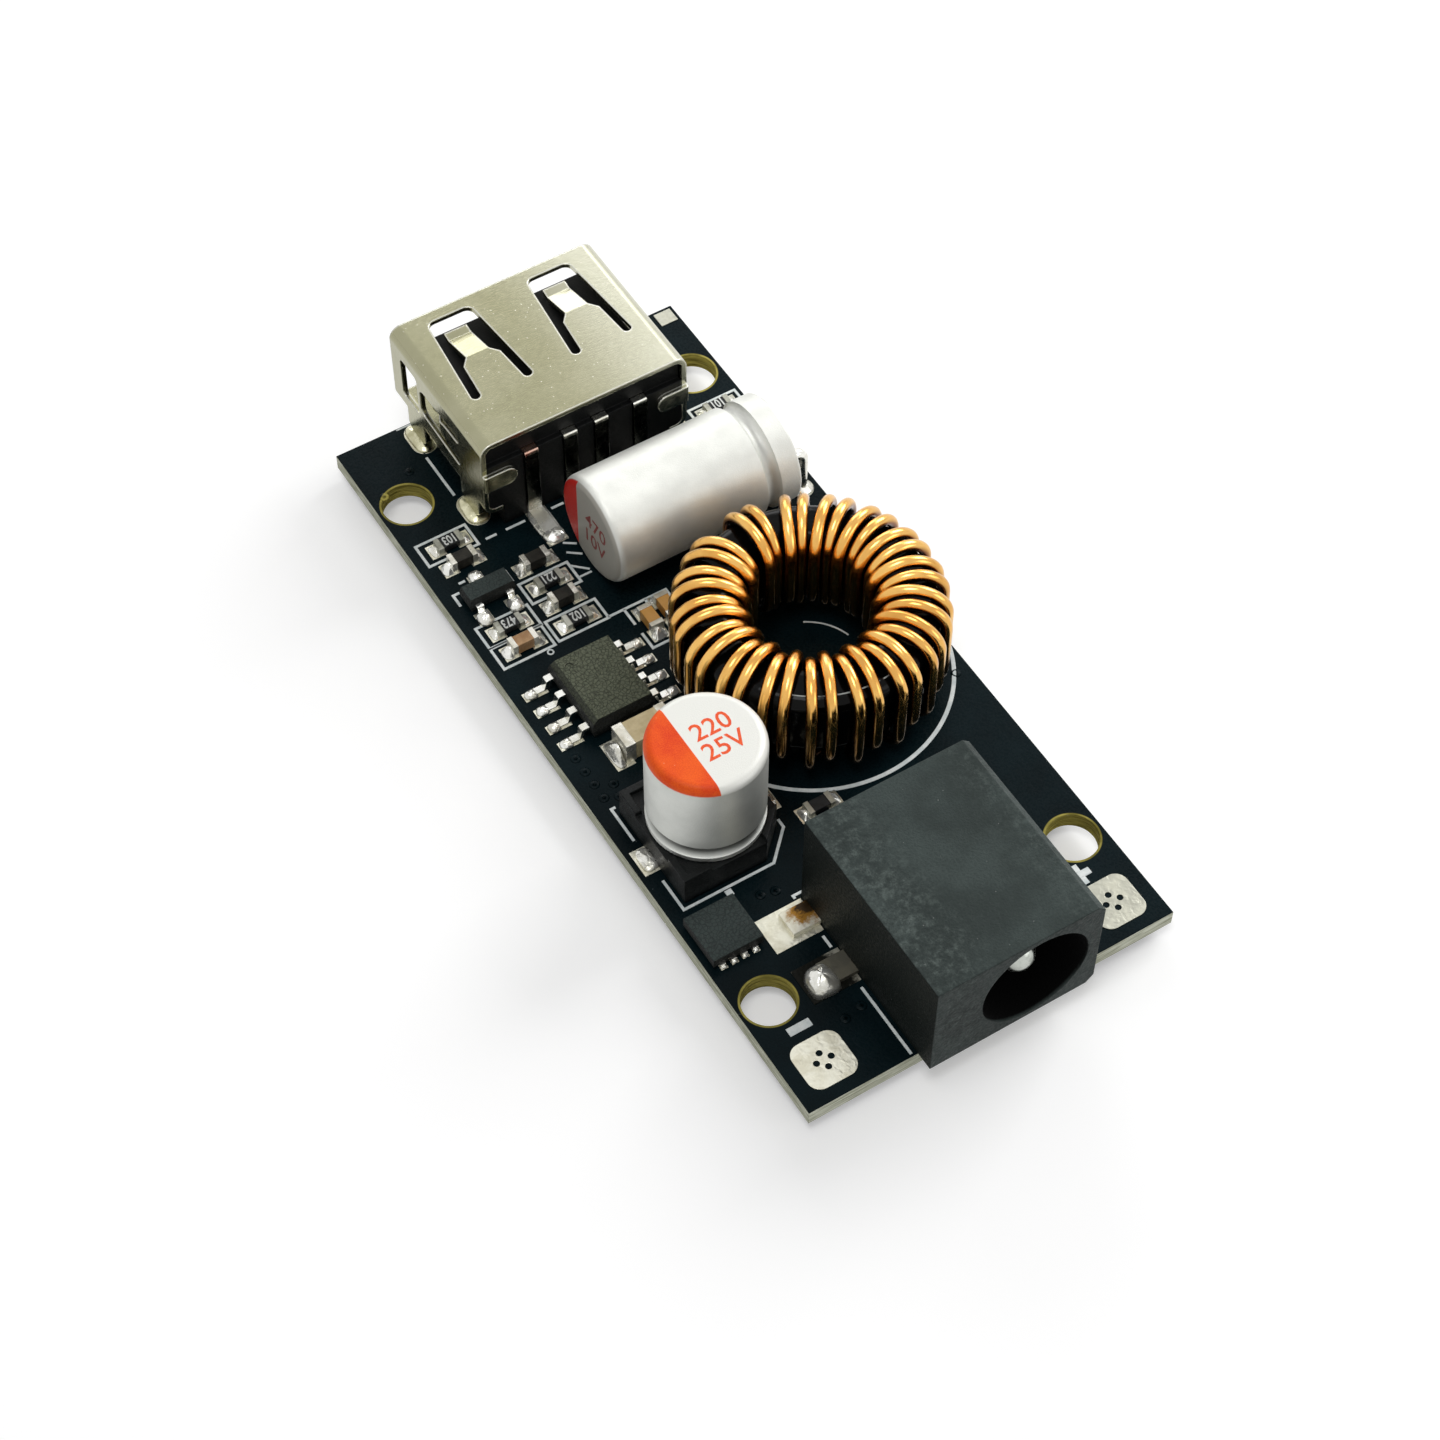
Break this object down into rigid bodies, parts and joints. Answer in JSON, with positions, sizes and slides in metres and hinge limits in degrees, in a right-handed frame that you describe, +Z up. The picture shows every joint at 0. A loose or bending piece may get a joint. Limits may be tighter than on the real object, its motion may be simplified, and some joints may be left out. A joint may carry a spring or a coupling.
{
  "type": "usb charging module",
  "caption": "Long narrow step-down charger board with a USB-A socket at one end, a barrel power jack at the other, a wire-wound ring inductor and capacitors between",
  "frame": {"origin": "centre of the bounding box's underside, level with the lead tips below the board", "axes": "+X across the board to the right, +Y along the board towards the USB socket, +Z up from the board's component side"},
  "size_m": [0.0224, 0.052, 0.0101],
  "materials": {
    "solder_mask": "gloss",
    "tin": "satin",
    "nickel": "satin",
    "black_plastic": "matte",
    "jack_plastic": "matte",
    "can_aluminium": "satin",
    "bung_rubber": "matte",
    "core_coating": "satin",
    "enamel_wire": "gloss",
    "epoxy": "matte",
    "resistor_glaze": "gloss",
    "dark_ceramic": "satin",
    "tan_ceramic": "satin"
  },
  "bodies": {
    "root": {"circuit_board": "solder_mask", "wire_pads": "tin", "component_pads": "tin", "solder_joints": "tin", "usb_shell": "nickel", "usb_insulator": "black_plastic", "usb_contacts": "tin", "output_capacitor_can": "can_aluminium", "output_capacitor_bung": "bung_rubber", "output_capacitor_leads": "tin", "inductor_core": "core_coating", "inductor_winding": "enamel_wire", "input_capacitor_can": "can_aluminium", "input_capacitor_base": "black_plastic", "input_capacitor_terminals": "tin", "jack_body": "jack_plastic", "jack_pin": "nickel", "jack_pin_terminal": "tin", "jack_sleeve_spring": "tin", "jack_anchor_tabs": "tin", "controller_chip": "epoxy", "controller_leads": "tin", "power_switch": "epoxy", "power_switch_leads": "tin", "transistor": "epoxy", "transistor_leads": "tin", "chip_resistors": "resistor_glaze", "resistor_terminals": "tin", "dark_chip_capacitors": "dark_ceramic", "tan_chip_capacitors": "tan_ceramic", "chip_capacitor_terminals": "tin", "bulk_capacitor": "tan_ceramic", "bulk_capacitor_terminals": "tin"}
  },
  "joints": []
}
